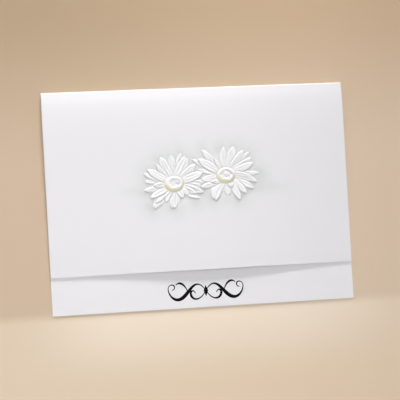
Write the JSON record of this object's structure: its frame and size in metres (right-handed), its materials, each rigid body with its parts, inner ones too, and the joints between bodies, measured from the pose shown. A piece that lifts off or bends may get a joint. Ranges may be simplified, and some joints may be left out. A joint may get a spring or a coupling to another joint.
{
  "type": "greeting card",
  "caption": "Folded greeting card with a short front flap, daisies embossed in the flap and a flourish of raised ink on the strip below it.",
  "frame": {"origin": "under the middle of the card, on the surface it lies on", "axes": "+X along the card's width, to the right as its front is read; +Y up the card towards its fold; +Z out of its front"},
  "size_m": [0.1238, 0.0888, 0.0033],
  "materials": {
    "card_stock": "smooth uncoated white card",
    "black_ink": "raised black resin ink",
    "yellow_ink": "thin pale yellow ink"
  },
  "bodies": {
    "root": {"card": "card_stock", "ink_flourish": "black_ink", "left_disc_ink": "yellow_ink", "right_disc_ink": "yellow_ink"}
  },
  "joints": []
}
